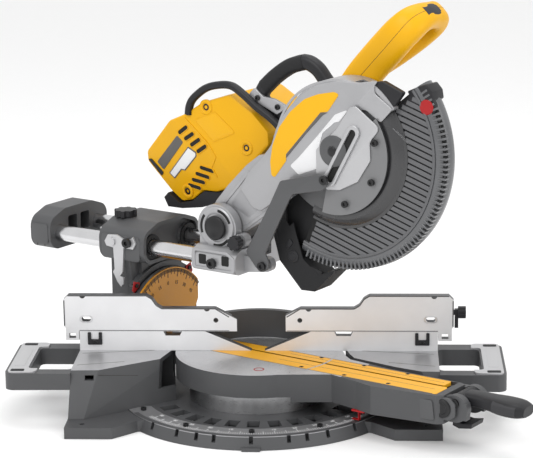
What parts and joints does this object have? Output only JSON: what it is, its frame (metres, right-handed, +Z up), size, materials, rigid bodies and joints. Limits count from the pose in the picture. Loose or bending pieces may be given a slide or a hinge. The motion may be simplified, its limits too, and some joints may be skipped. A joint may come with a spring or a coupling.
{
  "type": "sliding compound miter saw",
  "caption": "Twin-rail sliding compound miter saw: turntable with slotted arm, tilting rail housing, sliding carriage, pivoting head with blade, guards, motor and handles.",
  "frame": {"origin": "centre of the four bench bolt holes on the bench plane, which is also the turntable axis", "axes": "+Z up, +X to the operator's right along the fence, -Y towards the operator"},
  "size_m": [0.9228, 0.6573, 0.7469],
  "materials": {
    "dark_casting": "satin paint on a casting",
    "silver_casting": "machined",
    "machined_steel": "brushed",
    "plate": "satin",
    "black_plastic": "matte",
    "black_screw": "black oxide",
    "yellow_plastic": "semi-gloss",
    "yellow_scale": "printed",
    "red_marker": "satin",
    "rubber": "matte",
    "blade": "brushed"
  },
  "bodies": {
    "base": {"base_casting": "dark_casting", "grip_pads": "silver_casting", "mitre_scale": "machined_steel", "scale_screws": "black_screw", "bearing_ring": "machined_steel", "turntable_bolt": "machined_steel", "fixed_fence": "silver_casting", "fence_bolts": "black_screw"},
    "fence_left": {"upper_fence_left": "silver_casting"},
    "fence_right": {"upper_fence_right": "silver_casting"},
    "fence_knob_left": {"fence_knob_left": "black_plastic"},
    "fence_knob_right": {"fence_knob_right": "black_plastic"},
    "table": {"turntable": "dark_casting", "kerf_plates": "yellow_plastic", "table_screws": "black_screw", "mitre_pointer": "red_marker", "mitre_lock_pin": "machined_steel", "bevel_scale": "yellow_scale"},
    "mitre_lever": {"mitre_lock_lever": "black_plastic"},
    "lock_rod": {"mitre_lock_rod": "machined_steel"},
    "latch": {"detent_latch": "black_plastic"},
    "bevel": {"bevel_housing": "dark_casting", "bevel_pointers": "red_marker", "pointer_screws": "black_screw", "bevel_bolt": "machined_steel", "rail_bushes": "machined_steel", "slide_stop_bolt": "black_screw"},
    "stop_hook": {"slide_stop_hook": "plate"},
    "bevel_lever": {"bevel_lock_lever": "black_plastic"},
    "rail_knob": {"rail_lock_knob": "black_plastic"},
    "carriage": {"rails": "machined_steel", "end_cap": "dark_casting", "pivot_bracket": "silver_casting", "pivot_bolt": "machined_steel", "bracket_bolts": "black_screw", "head_spring": "machined_steel"},
    "lock_down": {"lock_down_knob": "black_plastic"},
    "head": {"head_arm": "silver_casting", "dust_shroud": "rubber", "arm_bolts": "black_screw", "motor_housing": "yellow_plastic", "motor_base": "black_plastic", "motor_stator": "machined_steel", "belt_case": "black_plastic", "drive_belt": "rubber", "battery_pack": "black_plastic", "roll_bar": "black_plastic", "top_handle": "black_plastic", "d_handle_top": "yellow_plastic", "d_handle_bottom": "yellow_plastic"},
    "guard": {"lower_guard": "dark_casting", "guard_hub": "plate", "guard_hub_screws": "black_screw"},
    "link": {"guard_link": "dark_casting", "link_bolts": "black_screw"},
    "blade": {"saw_blade": "blade", "arbor": "machined_steel"},
    "rotor": {"motor_rotor": "machined_steel"},
    "trigger": {"trigger": "black_plastic"},
    "lock_off": {"lock_off_lever": "black_plastic"}
  },
  "joints": [
    {"name": "mitre", "type": "hinge", "parent": "base", "child": "table", "pos_m": [0, 0, 0.101], "axis": [0, 0, 1], "range_deg": [-108, 2]},
    {"name": "bevel", "type": "hinge", "parent": "table", "child": "bevel", "pos_m": [0, 0, 0.101], "axis": [-0.848, 0.5299, 0], "range_deg": [-15, 48]},
    {"name": "rail_slide", "type": "slide", "parent": "bevel", "child": "carriage", "axis": [-0.848, 0.5299, 0], "range_m": [-0.11, 0.096]},
    {"name": "chop", "type": "hinge", "parent": "carriage", "child": "head", "pos_m": [-0.0424, 0.0265, 0.335], "axis": [-0.5299, -0.848, 0], "range_deg": [-44, 0]},
    {"name": "lower_guard_swing", "type": "hinge", "parent": "head", "child": "guard", "pos_m": [0.16287, -0.10177, 0.49487], "axis": [0.5299, 0.848, 0], "range_deg": [-127.6, 0]},
    {"name": "guard_link_swing", "type": "hinge", "parent": "carriage", "child": "link", "pos_m": [0.0458, -0.02862, 0.28], "axis": [0.5299, 0.848, 0], "range_deg": [0, 58.3]},
    {"name": "blade_spin", "type": "hinge", "parent": "head", "child": "blade", "pos_m": [0.17541, -0.10961, 0.45647], "axis": [0.5299, 0.848, 0], "continuous": true},
    {"name": "rotor_spin", "type": "hinge", "parent": "head", "child": "rotor", "pos_m": [-0.12139, 0.07585, 0.4492], "axis": [0.5299, 0.848, 0], "continuous": true},
    {"name": "fence_slide_left", "type": "slide", "parent": "base", "child": "fence_left", "axis": [1, 0, 0], "range_m": [-0.11, 0]},
    {"name": "fence_slide_right", "type": "slide", "parent": "base", "child": "fence_right", "axis": [1, 0, 0], "range_m": [0, 0.11]},
    {"name": "fence_clamp_left", "type": "hinge", "parent": "fence_left", "child": "fence_knob_left", "pos_m": [-0.322, 0.009, 0.172], "axis": [0, 1, 0], "range_deg": [-90, 90]},
    {"name": "fence_clamp_right", "type": "hinge", "parent": "fence_right", "child": "fence_knob_right", "pos_m": [0.344, 0.0075, 0.172], "axis": [1, 0, 0], "range_deg": [-60, 60]},
    {"name": "mitre_lock", "type": "hinge", "parent": "table", "child": "mitre_lever", "pos_m": [0.36636, -0.22892, 0.088], "axis": [0.5299, 0.848, 0], "range_deg": [-25, 0]},
    {"name": "lock_rod_slide", "type": "slide", "parent": "table", "child": "lock_rod", "axis": [0.848, -0.5299, 0], "range_m": [0, 0.004]},
    {"name": "detent_squeeze", "type": "slide", "parent": "table", "child": "latch", "axis": [0, 0, 1], "range_m": [0, 0.005]},
    {"name": "bevel_lock", "type": "hinge", "parent": "bevel", "child": "bevel_lever", "pos_m": [-0.25102, 0.15686, 0.101], "axis": [0.848, -0.5299, 0], "range_deg": [-30, 30]},
    {"name": "rail_lock", "type": "hinge", "parent": "bevel", "child": "rail_knob", "pos_m": [-0.24911, 0.12029, 0.312], "axis": [0, 0, 1], "range_deg": [-90, 90]},
    {"name": "slide_stop_flip", "type": "hinge", "parent": "bevel", "child": "stop_hook", "pos_m": [-0.19166, 0.11976, 0.291], "axis": [0.5299, 0.848, 0], "range_deg": [-5, 35]},
    {"name": "lock_down_pull", "type": "slide", "parent": "carriage", "child": "lock_down", "axis": [-0.5299, -0.848, 0], "range_m": [0, 0.008]},
    {"name": "trigger_pull", "type": "slide", "parent": "head", "child": "trigger", "axis": [0.5784, -0.3614, 0.7314], "range_m": [0, 0.005]},
    {"name": "lock_off_press", "type": "slide", "parent": "head", "child": "lock_off", "axis": [0.6202, -0.3876, -0.682], "range_m": [0, 0.004]}
  ],
  "couplings": [
    {"joint": "lower_guard_swing", "follows": "chop", "ratio": 2.9},
    {"joint": "guard_link_swing", "follows": "chop", "ratio": -1.325},
    {"joint": "rotor_spin", "follows": "blade_spin", "ratio": 2},
    {"joint": "lock_rod_slide", "follows": "mitre_lock", "m_per_rad": -0.009167}
  ]
}
